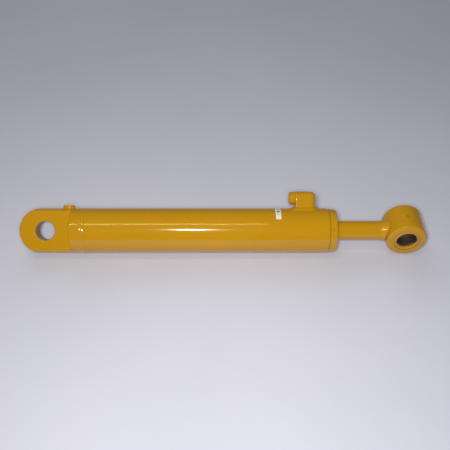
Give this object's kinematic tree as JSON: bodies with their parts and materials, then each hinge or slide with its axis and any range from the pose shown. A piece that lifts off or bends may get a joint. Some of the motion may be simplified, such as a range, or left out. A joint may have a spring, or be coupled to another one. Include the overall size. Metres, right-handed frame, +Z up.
{
  "type": "hydraulic cylinder",
  "caption": "Welded double-acting hydraulic cylinder with a flat tang eye at the base, a cross-tube eye on the rod, a screwed gland and a weld-on elbow port.",
  "frame": {"origin": "middle of the base pin bore, on the cylinder's axis", "axes": "+X along the cylinder from the base pin towards the rod eye, +Z up; the rod eye's pin bore lies along Y, and the base pin bore lies in the YZ plane, 45 degrees from -Y towards +Z"},
  "size_m": [0.6334, 0.0846, 0.0846],
  "materials": {
    "tube_paint": "gloss amber enamel",
    "weld_paint": "gloss amber enamel over weld ripples",
    "gland_paint": "gloss amber enamel over turned steel",
    "rod_chrome": "hard chrome, painted over on the stretch that shows when retracted",
    "piston_steel": "fine turned",
    "nut_steel": "zinc plated",
    "bush_steel": "dull turned, oiled",
    "seal_rubber": "matt nitrile",
    "guide_resin": "fabric-reinforced resin",
    "seal_polyurethane": "matt polyurethane"
  },
  "bodies": {
    "barrel": {"barrel_tube": "tube_paint", "base_tang": "tube_paint", "base_weld": "weld_paint", "base_port_boss": "tube_paint", "base_port_weld": "weld_paint", "head_port_elbow": "tube_paint", "head_port_weld": "weld_paint", "gland": "gland_paint", "gland_o_ring": "seal_rubber", "gland_backup_ring": "guide_resin", "rod_guide_ring": "guide_resin", "rod_seal": "seal_polyurethane", "rod_wiper": "seal_rubber"},
    "piston_rings": {"piston_wear_ring_rear": "guide_resin", "piston_seal_energizer": "seal_rubber", "piston_seal": "seal_polyurethane", "piston_wear_ring_front": "guide_resin"},
    "rod": {"piston_nut": "nut_steel", "piston": "piston_steel", "piston_o_ring": "seal_rubber", "piston_rod": "rod_chrome", "rod_eye_weld": "weld_paint", "rod_eye": "tube_paint", "rod_eye_bush": "bush_steel"}
  },
  "joints": [
    {"name": "rod_slide", "type": "slide", "parent": "barrel", "child": "piston_rings", "axis": [1, 0, 0], "range_m": [0, 0.27]},
    {"name": "rod_spin", "type": "hinge", "parent": "piston_rings", "child": "rod", "pos_m": [0, 0, 0], "axis": [1, 0, 0], "continuous": true}
  ]
}
